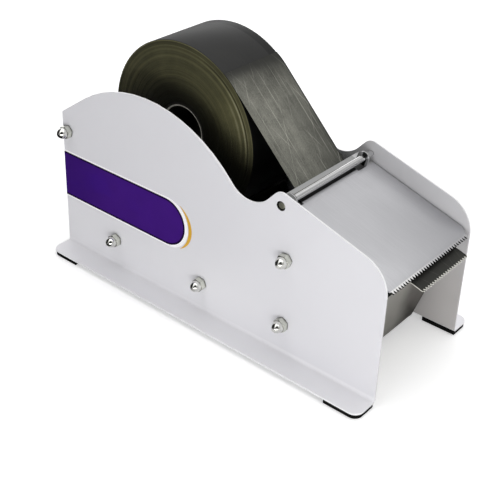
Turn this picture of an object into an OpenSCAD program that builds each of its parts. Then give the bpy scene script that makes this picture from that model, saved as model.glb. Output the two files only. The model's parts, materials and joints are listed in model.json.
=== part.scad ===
// Water-activated tape dispenser for a packing bench.
// Two folded side plates are tied by five rods. A cradle carries the tape roll, a water tank
// holds the wetting roller, and a hinged cutter plate covers the tape's way out.
// Millimetres. +X is the way the tape comes out, +Y the left side, and the table is Z = 0.

/* [Side plates] */
// Length of each side plate
plate_l = 300; // [285:1:330]
// Width over both foot flanges
overall_w = 145; // [135:1:170]
// Height of the plates at their rear edge
rear_h = 120; // [112:1:128]
// Thickness of the plate sheet
sheet_t = 1.5; // [1:0.1:2.5]
// Width of the foot flange, from the plate's outer face
flange_w = 19.5; // [15:0.5:25]
// Inside radius of the fold between plate and flange
fold_r = 1.5; // [1:0.1:3]
// Radius of the flange's front outer corner
flange_front_r = 7; // [3:0.5:14]
// Radius of the flange's rear outer corner
flange_rear_r = 8; // [2:0.5:15]
// Distance from the rear edge to the peak where the arch's two tangents meet
arch_peak_in = 105; // [97:1:112]
// Height of that peak
arch_peak_z = 194; // [188:1:202]
// Radius of the arch over the tape roll
arch_r = 111; // [85:1:115]
// Distance of the trough's corner behind the hinge rod
trough_back = 27; // [23:0.5:31]
// Depth of the trough's corner below the hinge rod
trough_drop = 17; // [13:0.5:21]
// Radius of the trough
trough_r = 21; // [12:0.5:22]
// Distance of the hinge bump's corner behind the hinge rod
bump_back = 2; // [1:0.5:3]
// Height of the hinge bump's corner above the hinge rod
bump_rise = 11; // [9:0.5:13]
// Radius of the hinge bump
bump_r = 8; // [5:0.5:9]
// Fall of the plates' straight top edge in degrees
top_slope = 16.5; // [14:0.5:18]
// Radius of the plates' front top corner
front_r = 25; // [12:1:32]

/* [Feet] */
// Thickness of the rubber pads
foot_t = 3.5; // [2:0.1:6]
// Length of each pad
foot_l = 28; // [22:1:50]
// Step of the pads in from the flange's edge
foot_inset = 0.5; // [0.2:0.1:2]

/* [Tie rods] */
// Diameter of the tie rods
rod_d = 6; // [5:0.5:7]
// Radial clearance of the rods in the plates, tabs and spacers
rod_clear = 0.2; // [0.1:0.05:0.5]
// Outer diameter of the spacer tubes
spacer_d = 10; // [9:0.5:12]
// Distance of the rear tie rod from the rear edge
rear_rod_in = 6; // [6:0.5:12]
// Height of the rear tie rod
rear_rod_z = 105; // [90:0.5:107]
// Distance of the rear cradle rod from the rear edge
cradle_rod_in = 56.5; // [50:0.5:62]
// Distance between the two cradle rods
cradle_rod_gap = 89; // [82:1:98]
// Height of the cradle rods
cradle_rod_z = 28; // [22:0.5:36]
// Distance of the tank rods behind the front edge
tank_rod_back = 78.5; // [76:0.5:81]
// Height of the lower tank rod
tank_rod_z = 29.5; // [22:0.5:38]
// Rise from the lower to the upper tank rod
tank_rod_rise = 52.5; // [44:0.5:56]

/* [Dome nuts] */
// Width across the nut's flats
nut_af = 10; // [9:0.5:12]
// Height of the nut's hexagon
nut_hex_h = 5.2; // [4:0.1:7]
// Whole height of the nut
nut_h = 12; // [11:0.5:15]
// Diameter of the dome
nut_dome_d = 9.2; // [8.5:0.1:9.6]
// Depth of the blind thread
nut_depth = 8.5; // [6:0.5:9]
// Clearance of the rod in the nut's thread
thread_clear = 0.05; // [0.02:0.01:0.1]

/* [Tape] */
// Diameter of the tape roll
roll_d = 136; // [112:1:140]
// Width of the tape
tape_w = 58; // [40:1:60]
// Gap between the tape and the tank's left end wall
tape_gap = 8.5; // [6:0.5:12]
// Thickness of the tape
tape_t = 0.4; // [0.2:0.05:0.6]
// Bore of the roll's core
core_bore = 38; // [32:1:76]
// Wall of the roll's core
core_wall = 2.5; // [2:0.1:5]
// Distance of the roll's axis from the rear edge
roll_in = 97; // [93:0.5:101]
// Height of the roll's axis
roll_z = 125.5; // [121:0.5:129]
// Reach of the tape's cut end past the side plates
tape_reach = 9; // [4:0.5:20]
// Blunt tip of the teeth on the tape's torn edge
tear_tip = 0.2; // [0.1:0.05:0.4]
// Angle over which the strip still lies on the roll
wrap_angle = 10; // [4:1:20]
// Gap between a turning piece and what it runs along
run_gap = 0.3; // [0.2:0.05:0.6]

/* [Roll cradle] */
// Thickness of the cradle's sheet
cradle_t = 1.5; // [1:0.1:2.5]
// Half angle of the cradle's trough under the roll
cradle_angle = 40; // [30:1:45]
// Step of the side tabs back from the trough's edges in degrees
tab_step = 2; // [1:0.5:5]
// Margin of the cradle's side tabs around their rods
tab_margin = 9; // [7:0.5:11]

/* [Cutter plate] */
// Diameter of the hinge rod
hinge_d = 5; // [4:0.5:6]
// Distance of the hinge rod behind the front edge
hinge_back = 85.5; // [83:0.5:89]
// Height of the hinge rod
hinge_z = 120.5; // [117:0.5:123]
// Radial clearance of the hinge rod in its ears and plates
hinge_clear = 0.05; // [0.02:0.01:0.1]
// Step of the hinge rod's ends in from the plates' outer faces
hinge_end_in = 0.5; // [0.1:0.1:0.6]
// Width and depth of the countersink round the hinge rod's ends
hinge_sink = 0.9; // [0.4:0.1:0.9]
// Chamfer of the hinge rod's ends
hinge_chamfer = 0.4; // [0.2:0.1:0.8]
// Fall of the cutter plate in degrees
cutter_slope = 16.5; // [14:0.5:19]
// Thickness of the cutter plate
cutter_t = 1.2; // [0.8:0.1:1.5]
// Height of the hinge axis above the plate's top face
hinge_lift = 4.5; // [4:0.1:6]
// Length of the plate behind the hinge axis
lip_l = 9; // [7:0.5:11]
// Reach of the teeth past the side plates
cutter_reach = 2; // [1:0.5:3]
// Gap between the cutter plate and each side plate
cutter_gap = 1; // [0.5:0.1:2]
// Length of the toothed strip that is bent down
tooth_strip_l = 8; // [6:0.5:12]
// Angle of that strip to the plate
tooth_bend = 14; // [5:1:20]
// Pitch of the saw teeth
tooth_pitch = 2.7; // [2:0.1:4]
// Depth of the saw teeth
tooth_h = 2.6; // [1.5:0.1:3.5]
// Width of the cut on each front corner
corner_cut = 3.5; // [2:0.5:6]
// Distance of each hinge ear from the middle
ear_y = 42; // [37:0.5:45]
// Radius of the hinge ears
ear_r = 4.8; // [4.2:0.1:6]

/* [Water tank] */
// Thickness of the tank's sheet
tank_t = 1; // [0.8:0.1:1.5]
// Gap between the tank's end walls and the side plates
tank_gap = 6; // [4:0.5:7]
// Height of the tank's underside over the table
tank_z = 5; // [3:0.5:8]
// Height of the front wall's top edge
tank_front_z = 72.5; // [66:0.5:76]
// Distance of the front wall's foot behind the front edge
tank_foot_back = 34; // [30:0.5:36]
// Lean of the front wall from upright in degrees
tank_lean = 18.5; // [15:0.5:20]
// Radius of the tank's folds
tank_fold_r = 3; // [1.5:0.1:5]
// Gap between the tank and the rods that carry it
seat_gap = 0.3; // [0.1:0.05:0.5]
// Distance of the end walls' high top edge below the cutter plate
rest_gap = 0.3; // [0.2:0.05:0.6]
// Start of that high edge, measured along the cutter plate from the hinge axis
rest_from = 16; // [14:0.5:20]

/* [Wetting roller] */
// Diameter of the roller's rubber sleeve
roller_d = 48; // [40:0.5:49]
// Wall of the rubber sleeve
sleeve_wall = 5; // [3:0.5:8]
// Count of the water grooves along the sleeve
groove_n = 24; // [12:1:36]
// Radius of each water groove
groove_r = 1.1; // [0.6:0.1:1.4]
// Wall of the roller's moulded core
roller_core_wall = 2.5; // [2:0.1:4]
// Diameter of the roller's axle
axle_d = 6; // [5:0.5:8]
// Radial clearance of the axle in its bushes
axle_clear = 0.05; // [0.02:0.01:0.1]
// Gap between the axle's ends and the side plates
axle_end_gap = 1.5; // [0.5:0.1:2]
// Distance of the axle behind the front edge
axle_back = 41; // [39.5:0.5:42.5]
// Outer diameter of the bushes
bush_d = 12; // [10:0.5:14]
// Diameter of the bushes' flanges
bush_flange_d = 16; // [14:0.5:18]
// Thickness of the bushes' flanges
bush_flange_t = 1.5; // [1:0.1:2]
// Gap between the roller's ends and the bushes
roller_end_gap = 0.4; // [0.3:0.05:0.8]

/* [Label] */
// Height of the label band
band_h = 38.5; // [30:0.5:44]
// Height of the band's lower edge
band_z = 47.5; // [42:0.5:52]
// Length of the band from the rear edge
band_l = 129; // [105:1:135]
// Thickness of the label film
film_t = 0.2; // [0.1:0.05:0.3]
// Gap between the band and the accent line
accent_gap = 3.8; // [2:0.2:5]
// Greatest width of the accent line
accent_w = 3; // [2:0.2:5]
// Angle from the accent line's middle to each of its ends
accent_angle = 52; // [40:1:70]

/* [Hidden] */
$fn = 64;
eps = 0.01;
big = 400;

// Places along the plates, with the whole object centred on the origin
total_l = plate_l + tape_reach;
rear_x = -total_l / 2;
front_x = rear_x + plate_l;
tip_x = front_x + tape_reach;

// Side plates
half_w = overall_w / 2;
plate_out = half_w - flange_w;
plate_in = plate_out - sheet_t;
tank_half = plate_in - tank_gap;
tank_in = tank_half - tank_t;
flange_top = foot_t + sheet_t;
fold_top = flange_top + fold_r;
hinge = [front_x - hinge_back, hinge_z];
hinge_r = hinge_d / 2;
hinge_bore_r = hinge_r + hinge_clear;
bump = hinge + [-bump_back, bump_rise];
trough = hinge - [trough_back, trough_drop];
front_top_z = bump.y - (front_x - bump.x) * tan(top_slope);
plate_corners = [
    [rear_x, fold_top, 0],
    [rear_x, rear_h, 0],
    [rear_x + arch_peak_in, arch_peak_z, arch_r],
    [trough.x, trough.y, trough_r],
    [bump.x, bump.y, bump_r],
    [front_x, front_top_z, front_r],
    [front_x, fold_top, 0]
];

// Tie rods, as places in X and Z
rod_r = rod_d / 2;
spacer_r = spacer_d / 2;
cradle_rod_x = rear_x + cradle_rod_in;
tank_rod_x = front_x - tank_rod_back;
tank_rod_top = tank_rod_z + tank_rod_rise;
rear_rod_at = [rear_x + rear_rod_in, rear_rod_z];
cradle_rear_at = [cradle_rod_x, cradle_rod_z];
cradle_front_at = [cradle_rod_x + cradle_rod_gap, cradle_rod_z];
tank_upper_at = [tank_rod_x, tank_rod_top];
tank_lower_at = [tank_rod_x, tank_rod_z];
cradle_in = plate_in - cradle_t;

// Tape roll and the strip's path from the roll, round the hinge and out under the teeth
roll_r = roll_d / 2;
core_r = core_bore / 2;
core_out = core_r + core_wall;
roll_at = [rear_x + roll_in, roll_z];
tape_left = tank_in - tape_gap;
tape_right = tape_left - tape_w;
lip_sweep = norm([lip_l, hinge_lift + cutter_t]);
strip_roll_r = roll_r + run_gap;
strip_hinge_r = lip_sweep + 2 * run_gap;
roll_to_hinge = hinge - roll_at;
strip_pull = asin((strip_roll_r + strip_hinge_r + tape_t) / norm(roll_to_hinge));
strip_dir = atan2(roll_to_hinge.y, roll_to_hinge.x) - strip_pull;
strip_leave = strip_dir + 90;
strip_end_u = (tip_x - hinge.x + strip_hinge_r * sin(cutter_slope)) / cos(cutter_slope);

// Cutter plate, in its own frame: u along the plate, w square to it, from the hinge axis
cutter_half = plate_in - cutter_gap;
cutter_top_w = -hinge_lift;
cutter_low_w = -hinge_lift - cutter_t;
cutter_end_x = front_x + cutter_reach;
strip_u = tooth_strip_l * cos(tooth_bend);
cutter_end_u = (cutter_end_x - hinge.x + hinge_lift * sin(cutter_slope)) / cos(cutter_slope);
bend_u = cutter_end_u - strip_u;
ear_l = hinge_lift + ear_r;

// Wetting roller, set against the underside of the strip
roller_r = roller_d / 2;
sleeve_in = roller_r - sleeve_wall;
roller_w = -(strip_hinge_r + tape_t + run_gap + roller_r);
axle_x = front_x - axle_back;
axle_z = hinge.y + (roller_w - (axle_x - hinge.x) * sin(cutter_slope)) / cos(cutter_slope);
axle_at = [axle_x, axle_z];
axle_r = axle_d / 2;
bush_r = bush_d / 2;
bush_in = tank_in - bush_flange_t;
roller_half = bush_in - roller_end_gap;
bush_out = tank_half + bush_flange_t;
axle_half = plate_in - axle_end_gap;

// Water tank, as the middle line of its sheet
hook_r = spacer_r + seat_gap + tank_t / 2;
tank_rear_x = tank_rod_x + hook_r;
tank_floor_z = tank_z + tank_t / 2;
tank_foot_x = front_x - tank_foot_back;
tank_lip_x = tank_foot_x + (tank_front_z - tank_floor_z) * tan(tank_lean);
hook_top_z = tank_rod_top + hook_r;
rest_w = cutter_low_w - rest_gap;
rest_rear = at_cutter(rest_from, rest_w);
rest_front = at_cutter(bend_u - tooth_strip_l, rest_w);
bush_seat_r = bush_r + axle_clear;

// Label on the right plate
band_r = band_h / 2;
band_end_x = rear_x + band_l - band_r;
band_mid_z = band_z + band_r;

FEET = [
    ["foot_front_right", 1, -1],
    ["foot_front_left", 1, 1],
    ["foot_rear_right", -1, -1],
    ["foot_rear_left", -1, 1]
];
TIES = [
    ["rear_tie_rod", "rear_spacer", rear_rod_at, plate_in],
    ["cradle_rod_rear", "cradle_spacer_rear", cradle_rear_at, cradle_in],
    ["cradle_rod_front", "cradle_spacer_front", cradle_front_at, cradle_in],
    ["tank_rod_upper", "tank_spacer_upper", tank_upper_at, plate_in],
    ["tank_rod_lower", "tank_spacer_lower", tank_lower_at, plate_in]
];
SIDES = [["right", -1], ["left", 1]];

// A point of the cutter plate's frame, as X and Z
function at_cutter(u, w) = hinge + [
    u * cos(cutter_slope) + w * sin(cutter_slope),
    w * cos(cutter_slope) - u * sin(cutter_slope)
];

// Points of an arc round c
function arc(c, r, from, to, n = 16) = [
    for (i = [0:n]) c + r * [cos(from + (to - from) * i / n), sin(from + (to - from) * i / n)]
];

function unit(v) = v / norm(v);
function xz(p) = [p[0], p[1]];
function reversed(list) = [for (i = [len(list) - 1:-1:0]) list[i]];

// Rounded outlines: each corner is [x, z, radius], and radii shrink together if an edge is too short
function edge_to(c, i, step) = xz(c[(i + step + len(c)) % len(c)]) - xz(c[i]);
function half_angle(c, i) = acos(unit(edge_to(c, i, 1)) * unit(edge_to(c, i, -1))) / 2;
function tangent_l(c, i) = c[i][2] / tan(half_angle(c, i));
function radius_share(c) = min([
    for (i = [0:len(c) - 1])
        min(1, norm(edge_to(c, i, 1)) / max(eps, tangent_l(c, i) + tangent_l(c, (i + 1) % len(c))))
]);
function corner_arc(c, i, r) =
    let (
        p = xz(c[i]),
        back = unit(edge_to(c, i, -1)),
        ahead = unit(edge_to(c, i, 1)),
        half = half_angle(c, i),
        centre = p + unit(back + ahead) * r / sin(half),
        s = p + back * r / tan(half) - centre,
        e = p + ahead * r / tan(half) - centre,
        from = atan2(s.y, s.x),
        sweep = (atan2(e.y, e.x) - from + 540) % 360 - 180
    )
    arc(centre, r, from, from + sweep, max(3, ceil(abs(sweep) / 6)));
function rounded(c) =
    let (share = radius_share(c))
    [for (i = [0:len(c) - 1]) each c[i][2] == 0 ? [xz(c[i])] : corner_arc(c, i, c[i][2] * share)];

// Outline of a folded sheet from the corners of its middle line, [x, z, fold radius]
function left_of(v) = [-v.y, v.x];
function sheet_side(c, d) = [
    for (i = [0:len(c) - 1])
        let (
            n_in = left_of(unit(xz(c[max(i, 1)]) - xz(c[max(i, 1) - 1]))),
            n_out = left_of(unit(xz(c[min(i, len(c) - 2) + 1]) - xz(c[min(i, len(c) - 2)]))),
            turn = sign(n_in.x * n_out.y - n_in.y * n_out.x),
            p = xz(c[i]) + (n_in + n_out) * d / (1 + n_in * n_out)
        )
        [p.x, p.y, c[i][2] == 0 ? 0 : c[i][2] - turn * d]
];
function sheet(c, t) = rounded(concat(sheet_side(c, t / 2), reversed(sheet_side(c, -t / 2))));

// Saw teeth from one side to the other, in Y, with their roots at u
function teeth(u, from, to) =
    let (n = floor((to - from) / tooth_pitch), pitch = (to - from) / n)
    [for (i = [0:n - 1]) each [[u, from + i * pitch], [u + tooth_h, from + (i + 0.5) * pitch]], [u, to]];

// Extrudes an outline in X and Z from one Y to another
module slab(from, to) {
    translate([0, to, 0])
        rotate([90, 0, 0])
            linear_extrude(to - from)
                children();
}

// Puts an axis along +Y through a place in X and Z, starting at y
module along_y(at, y = 0) {
    translate([at.x, y, at.y])
        rotate([-90, 0, 0])
            children();
}

module on_side(side) {
    mirror([0, side < 0 ? 1 : 0, 0])
        children();
}

// Puts the cutter plate's frame at the hinge axis
module cutter_frame() {
    translate([hinge.x, 0, hinge.y])
        rotate([0, cutter_slope, 0])
            children();
}

module flange_outline(from_y, inset) {
    polygon(rounded([
        [rear_x + inset, from_y, 0],
        [front_x - inset, from_y, 0],
        [front_x - inset, half_w - inset, flange_front_r - inset],
        [rear_x + inset, half_w - inset, flange_rear_r - inset]
    ]));
}

module side_plate(side) {
    color("white")
        on_side(side)
            difference() {
                union() {
                    slab(plate_in, plate_out)
                        polygon(rounded(plate_corners));
                    translate([rear_x, plate_out + fold_r, fold_top])
                        rotate([90, 0, 90])
                            linear_extrude(plate_l)
                                intersection() {
                                    difference() {
                                        circle(fold_r + sheet_t);
                                        circle(fold_r);
                                    }
                                    translate([-big, -big])
                                        square(big);
                                }
                    translate([0, 0, foot_t])
                        linear_extrude(sheet_t)
                            flange_outline(plate_out + fold_r, 0);
                }
                for (t = TIES)
                    along_y(t[2], plate_in - eps)
                        cylinder(r = rod_r + rod_clear, h = sheet_t + 2 * eps);
                along_y(hinge, plate_in - eps)
                    cylinder(r = hinge_bore_r, h = sheet_t + 2 * eps);
                along_y(hinge, plate_out - hinge_sink)
                    cylinder(r1 = hinge_bore_r, r2 = hinge_bore_r + hinge_sink + eps, h = hinge_sink + eps);
            }
}

module foot(end, side) {
    from_x = end > 0 ? front_x - foot_l : rear_x;
    color("black")
        on_side(side)
            linear_extrude(foot_t)
                intersection() {
                    flange_outline(plate_in + fold_r, foot_inset);
                    translate([from_x, 0])
                        square([foot_l, big]);
                }
}

module tie_rod(at) {
    reach = plate_out + nut_depth - rod_clear;
    color("silver")
        along_y(at, -reach)
            cylinder(r = rod_r, h = 2 * reach);
}

module spacer(at, half) {
    color("black")
        along_y(at, -half)
            difference() {
                cylinder(r = spacer_r, h = 2 * half);
                translate([0, 0, -eps])
                    cylinder(r = rod_r + rod_clear, h = 2 * half + 2 * eps);
            }
}

// Dome nut on its own axis, standing on the plate
module dome_nut() {
    dome_r = nut_dome_d / 2;
    difference() {
        union() {
            intersection() {
                cylinder(d = nut_af / cos(30), h = nut_hex_h, $fn = 6);
                rotate_extrude()
                    polygon([
                        [0, 0],
                        [nut_af / 2, 0],
                        [nut_af / 2 / cos(30), (nut_af / cos(30) - nut_af) / 4],
                        [nut_af / 2 / cos(30), nut_hex_h],
                        [0, nut_hex_h]
                    ]);
            }
            rotate_extrude()
                intersection() {
                    union() {
                        translate([0, nut_h - dome_r])
                            circle(dome_r);
                        translate([0, nut_hex_h / 2])
                            square([dome_r, nut_h - dome_r - nut_hex_h / 2]);
                    }
                    square([dome_r, nut_h]);
                }
        }
        translate([0, 0, -eps])
            cylinder(r = rod_r + thread_clear, h = nut_depth + eps);
    }
}

module dome_nuts(side) {
    color("gainsboro")
        on_side(side)
            for (t = TIES)
                along_y(t[2], plate_out)
                    dome_nut();
}

// Side tab of the cradle: two feet round the rods, hollowed by the roll's trough
module cradle_tab_outline() {
    rear = cradle_rear_at - [tab_margin, tab_margin];
    front = cradle_front_at + [tab_margin, -tab_margin];
    edge_r = roll_r + run_gap + cradle_t / 2;
    edge_x = edge_r * sin(cradle_angle - tab_step);
    edge_z = roll_at.y - edge_r * cos(cradle_angle - tab_step);
    difference() {
        polygon(rounded([
            [rear.x, rear.y, tab_margin],
            [front.x, front.y, tab_margin],
            [front.x, cradle_rod_z + tab_margin, tab_margin],
            [roll_at.x + edge_x, edge_z, 0],
            [roll_at.x - edge_x, edge_z, 0],
            [rear.x, cradle_rod_z + tab_margin, tab_margin]
        ]));
        translate(roll_at)
            circle(edge_r);
    }
}

module roll_cradle() {
    color("black")
        difference() {
            union() {
                along_y(roll_at, -plate_in)
                    rotate(90 - cradle_angle)
                        rotate_extrude(angle = 2 * cradle_angle)
                            translate([roll_r + run_gap, 0])
                                square([cradle_t, 2 * plate_in]);
                for (side = [-1, 1])
                    on_side(side)
                        slab(cradle_in, plate_in)
                            cradle_tab_outline();
            }
            for (at = [cradle_rear_at, cradle_front_at])
                along_y(at, -half_w)
                    cylinder(r = rod_r + rod_clear, h = overall_w);
        }
}

module tape_roll() {
    color("dimgray")
        along_y(roll_at, tape_right)
            difference() {
                cylinder(r = roll_r, h = tape_w);
                translate([0, 0, -eps])
                    cylinder(r = core_out, h = tape_w + 2 * eps);
            }
}

module tape_core() {
    color("tan")
        along_y(roll_at, tape_right)
            difference() {
                cylinder(r = core_out, h = tape_w);
                translate([0, 0, -eps])
                    cylinder(r = core_r, h = tape_w + 2 * eps);
            }
}

// One face of the strip: d is its distance from the face that lies on the roll
function strip_face(d) = concat(
    arc(roll_at, strip_roll_r + d, strip_leave + wrap_angle, strip_leave, 4),
    arc(hinge, strip_hinge_r + tape_t - d, strip_leave + 180, 270 - cutter_slope, 8),
    [at_cutter(strip_end_u, d - strip_hinge_r - tape_t)]
);

// The strip, with the notches of its torn edge cut out between blunt tips
module tape_strip() {
    root_u = strip_end_u + tear_tip - tooth_h;
    side = tooth_pitch;
    color("gray")
        difference() {
            slab(tape_right, tape_left)
                polygon(concat(strip_face(0), reversed(strip_face(tape_t))));
            cutter_frame()
                translate([0, 0, -strip_hinge_r - 2 * tape_t])
                    linear_extrude(3 * tape_t)
                        polygon(concat(
                            [[root_u, tape_right - side]],
                            teeth(root_u, tape_right, tape_left),
                            [
                                [root_u, tape_left + side],
                                [root_u + 2 * tooth_h, tape_left + side],
                                [root_u + 2 * tooth_h, tape_right - side]
                            ]
                        ));
        }
}

module hinge_rod() {
    half = plate_out - hinge_end_in;
    end_r = hinge_r - hinge_chamfer;
    color("silver")
        along_y(hinge, -half)
            rotate_extrude()
                polygon([
                    [0, 0],
                    [end_r, 0],
                    [hinge_r, hinge_chamfer],
                    [hinge_r, 2 * half - hinge_chamfer],
                    [end_r, 2 * half],
                    [0, 2 * half]
                ]);
}

// Hinge ear, lanced up out of the plate at y
module ear(y) {
    translate([0, y - cutter_t / 2, 0])
        rotate([-90, 0, 0])
            difference() {
                union() {
                    cylinder(r = ear_r, h = cutter_t);
                    translate([-ear_r, 0, 0])
                        cube([2 * ear_r, hinge_lift + cutter_t, cutter_t]);
                }
                translate([0, 0, -eps])
                    cylinder(r = hinge_bore_r, h = cutter_t + 2 * eps);
            }
}

module cutter_plate() {
    narrow = cutter_half - corner_cut;
    color("lightsteelblue")
        cutter_frame() {
            difference() {
                translate([-lip_l, -cutter_half, cutter_low_w])
                    cube([lip_l + bend_u, 2 * cutter_half, cutter_t]);
                for (side = [-1, 1])
                    on_side(side)
                        translate([-ear_r, ear_y - cutter_t / 2 - ear_l, cutter_low_w - eps])
                            cube([2 * ear_r, ear_l, cutter_t + 2 * eps]);
            }
            for (side = [-1, 1])
                ear(side * ear_y);
            translate([bend_u, 0, cutter_top_w])
                rotate([0, tooth_bend, 0])
                    translate([0, 0, -cutter_t])
                        linear_extrude(cutter_t)
                            polygon(concat(
                                [[0, cutter_half], [0, -cutter_half]],
                                teeth(tooth_strip_l - tooth_h, -narrow, narrow)
                            ));
        }
}

// End wall of the tank, high enough to carry the closed cutter plate, with the bush's open slot
module tank_end_outline() {
    rear = tank_rear_x - tank_t / 2;
    difference() {
        polygon(rounded([
            [rear, tank_z, tank_fold_r],
            [tank_foot_x + tank_t / 2, tank_z, tank_fold_r],
            [tank_lip_x + tank_t / 2, tank_front_z, 0],
            [rest_front.x, rest_front.y, tank_fold_r],
            [rest_rear.x, rest_rear.y, tank_fold_r],
            [rear, tank_rod_top, 0]
        ]));
        translate(axle_at)
            circle(bush_seat_r);
        translate([axle_x - bush_seat_r, axle_z])
            square([2 * bush_seat_r, big]);
    }
}

module water_tank() {
    color("darkgray") {
        slab(-tank_half, tank_half)
            polygon(sheet([
                [tank_rod_x - hook_r, tank_rod_top - spacer_r, 0],
                [tank_rod_x - hook_r, hook_top_z, hook_r - eps],
                [tank_rear_x, hook_top_z, hook_r - eps],
                [tank_rear_x, tank_floor_z, tank_fold_r],
                [tank_foot_x, tank_floor_z, tank_fold_r],
                [tank_lip_x, tank_front_z, 0]
            ], tank_t));
        for (side = [-1, 1])
            on_side(side)
                slab(tank_in, tank_half)
                    tank_end_outline();
    }
}

module wet_roller_sleeve() {
    color("darkslategray")
        along_y(axle_at, -roller_half)
            difference() {
                cylinder(r = roller_r, h = 2 * roller_half);
                translate([0, 0, -eps])
                    cylinder(r = sleeve_in, h = 2 * roller_half + 2 * eps);
                for (i = [0:groove_n - 1])
                    rotate(360 * i / groove_n)
                        translate([roller_r, 0, -eps])
                            cylinder(r = groove_r, h = 2 * roller_half + 2 * eps);
            }
}

// Moulded core: an outer tube and a hub joined by a web in the middle
module wet_roller_core() {
    color("ivory")
        along_y(axle_at, -roller_half)
            rotate_extrude()
                difference() {
                    translate([axle_r, 0])
                        square([sleeve_in - axle_r, 2 * roller_half]);
                    for (z = [-eps, roller_half + roller_core_wall])
                        translate([axle_r + roller_core_wall, z])
                            square([
                                sleeve_in - axle_r - 2 * roller_core_wall,
                                roller_half - roller_core_wall + eps
                            ]);
                }
}

module wet_roller_axle() {
    color("silver")
        along_y(axle_at, -axle_half)
            cylinder(r = axle_r, h = 2 * axle_half);
}

module axle_bush(side) {
    color("ivory")
        on_side(side)
            along_y(axle_at, bush_in)
                difference() {
                    union() {
                        cylinder(d = bush_flange_d, h = bush_flange_t);
                        cylinder(r = bush_r, h = bush_out - bush_in);
                    }
                    translate([0, 0, -eps])
                        cylinder(r = axle_r + axle_clear, h = bush_out - bush_in + 2 * eps);
                }
}

module label_band() {
    color("indigo")
        slab(-plate_out - film_t, -plate_out) {
            translate([rear_x, band_z])
                square([band_l - band_r, band_h]);
            translate([band_end_x, band_mid_z])
                circle(band_r);
        }
}

// Crescent beside the band's round end
module label_accent() {
    inner_r = band_r + accent_gap;
    reach = inner_r + accent_w;
    shift = (reach ^ 2 - inner_r ^ 2) / (2 * (reach - inner_r * cos(accent_angle)));
    color("goldenrod")
        slab(-plate_out - film_t, -plate_out)
            difference() {
                translate([band_end_x + shift, band_mid_z])
                    circle(reach - shift);
                translate([band_end_x, band_mid_z])
                    circle(inner_r);
            }
}

for (s = SIDES) {
    side_plate(s[1]);
    dome_nuts(s[1]);
    axle_bush(s[1]);
}
for (f = FEET)
    foot(f[1], f[2]);
for (t = TIES) {
    tie_rod(t[2]);
    spacer(t[2], t[3]);
}
roll_cradle();
tape_roll();
tape_core();
tape_strip();
hinge_rod();
cutter_plate();
water_tank();
wet_roller_sleeve();
wet_roller_core();
wet_roller_axle();
label_band();
label_accent();
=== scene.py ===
"""Looks of a water-activated tape dispenser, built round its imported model."""

import json
import math

import bpy
from mathutils import Matrix, Vector


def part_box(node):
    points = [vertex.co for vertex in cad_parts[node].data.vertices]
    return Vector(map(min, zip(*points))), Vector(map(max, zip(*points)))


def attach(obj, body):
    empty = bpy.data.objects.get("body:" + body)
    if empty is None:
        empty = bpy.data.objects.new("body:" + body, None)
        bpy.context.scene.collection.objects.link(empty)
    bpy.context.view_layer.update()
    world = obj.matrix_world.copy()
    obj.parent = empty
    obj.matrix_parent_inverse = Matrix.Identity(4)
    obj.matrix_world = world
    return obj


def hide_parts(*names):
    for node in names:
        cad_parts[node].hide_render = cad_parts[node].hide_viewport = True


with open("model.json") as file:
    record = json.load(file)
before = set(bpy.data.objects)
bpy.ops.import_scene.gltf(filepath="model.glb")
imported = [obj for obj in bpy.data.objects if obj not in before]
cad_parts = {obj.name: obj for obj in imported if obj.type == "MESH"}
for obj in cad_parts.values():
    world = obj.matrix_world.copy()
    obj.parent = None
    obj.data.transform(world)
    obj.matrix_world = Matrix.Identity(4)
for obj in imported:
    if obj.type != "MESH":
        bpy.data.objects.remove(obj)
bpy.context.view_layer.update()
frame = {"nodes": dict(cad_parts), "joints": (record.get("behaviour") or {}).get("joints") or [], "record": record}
record = frame["record"]

MM = 0.001
TURN = 2 * math.pi
ALONG_Y = Vector((0, 1, 0))
MERGE = 0.002 * MM

# Places that the frame gives
joint_at = {joint["name"]: Vector(joint["pos_m"]) for joint in frame["joints"]}
body_of = {node: body for body, nodes in record["behaviour"]["bodies"].items() for node in nodes}
slot_of = {part["node"]: part["material_slot"] for part in record["subparts"]}
HINGE = joint_at["cutter_hinge"]
ROLL = joint_at["roll_spin"]
PLATE_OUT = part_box("dome_nuts_left")[0].y
TIES = ["rear_tie_rod", "cradle_rod_rear", "cradle_rod_front", "tank_rod_upper", "tank_rod_lower"]

# Camera, with the place and turn of the photograph's viewpoint
CAMERA_AT = (0.4057, -0.5161, 0.4526)
CAMERA_TURN = (60.901, -1.655, 40.346)
CAMERA_LENS = 73.55
CAMERA_SHIFT = (0.02, -0.12)

# Tape: its run from the roll, round the hinge and out under the teeth
SLOPE = math.radians(16.5)
TAPE_T = 0.4 * MM
PAPER_T = 0.25 * MM
RUN_GAP = 0.3 * MM
HINGE_R = 11.25 * MM
WRAP = math.radians(10)
WRAP_LIFT = 0.35 * MM
WRAP_ROWS = 6
RUN_ROWS = 40
BEND_ROWS = 8
OUT_ROWS = 40
TEAR_H = 1.8 * MM
TEARS = 21

# Dark band along the tape's far edge: where it starts and where it is full
FAR_BAND = (1.4 * MM, 0.8 * MM)

# Threads in the strip: each family's angle in degrees, spacing, width and seed
THREADS = (
    (0, 4.2 * MM, 0.3 * MM, 1.7),
    (21, 11 * MM, 0.28 * MM, 5.1),
    (-25, 9 * MM, 0.28 * MM, 9.6),
)

# Tape roll: its rim and its groups of laps
ROLL_RIM = 0.35 * MM
ROLL_STEPS = 160
LAP_LEAST = 0.7 * MM
LAP_SPREAD = 1.4 * MM
LAP_DEPTH = 0.16 * MM
LAP_SLOPE = 0.12 * MM
LAP_WIDTH_SHIFT = 40

# Core of the roll
CORE_GAP = 0.05 * MM
CORE_WALL = 3.2 * MM
CORE_SET_IN = 0.6 * MM
CORE_BEVEL = 0.3 * MM
CORE_RING = 1.1 * MM
CORE_STEPS = 96

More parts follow.
